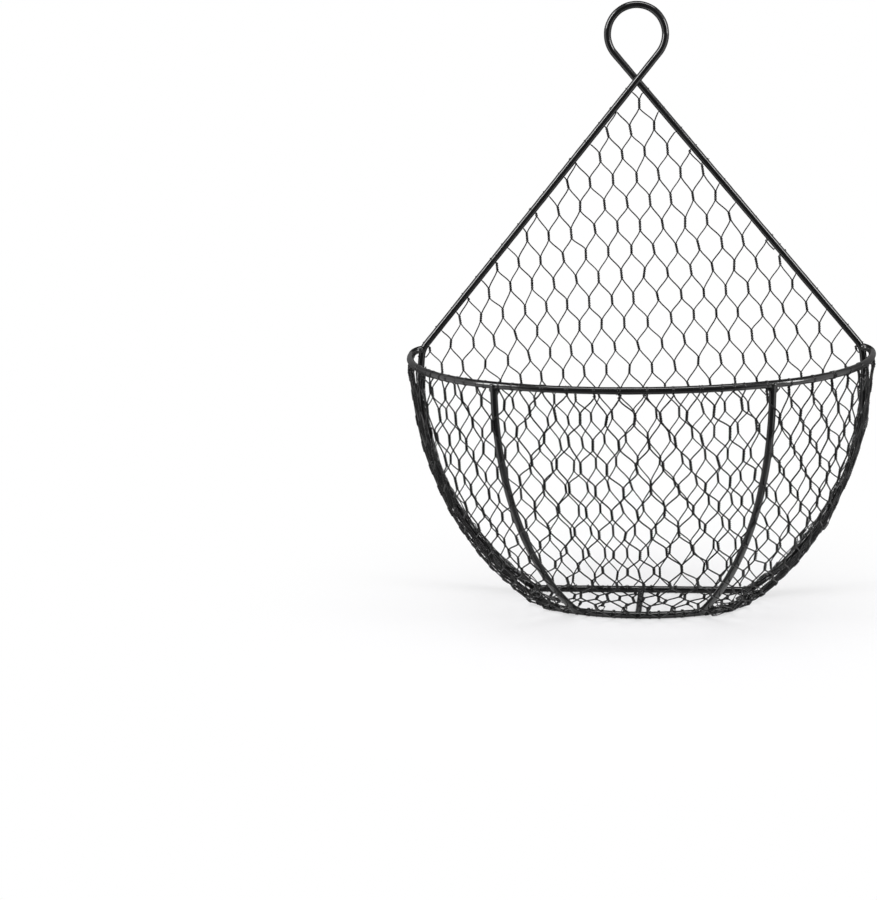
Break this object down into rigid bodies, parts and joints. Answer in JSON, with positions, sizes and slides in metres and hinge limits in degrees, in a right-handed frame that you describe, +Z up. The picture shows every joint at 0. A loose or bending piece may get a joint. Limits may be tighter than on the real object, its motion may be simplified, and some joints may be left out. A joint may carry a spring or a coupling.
{
  "type": "hanging fruit basket",
  "caption": "Wall-hanging half-round wire fruit basket: bent wire frame with a hanging loop, rim, ribs and base hoop, lined with hexagonal wire netting.",
  "frame": {"origin": "middle of the whole basket's footprint, on the surface that its base hoop stands on", "axes": "+Z up, +X along the wall to the right when facing the basket, +Y towards the wall that it hangs on"},
  "size_m": [0.3012, 0.136, 0.385],
  "materials": {
    "frame_wire": "satin black coating",
    "netting": "satin black coating"
  },
  "bodies": {
    "root": {"back_frame": "frame_wire", "rim": "frame_wire", "rib_left": "frame_wire", "rib_right": "frame_wire", "base_hoop": "frame_wire", "base_bar": "frame_wire", "back_netting": "netting", "base_netting": "netting", "bowl_netting": "netting"}
  },
  "joints": []
}
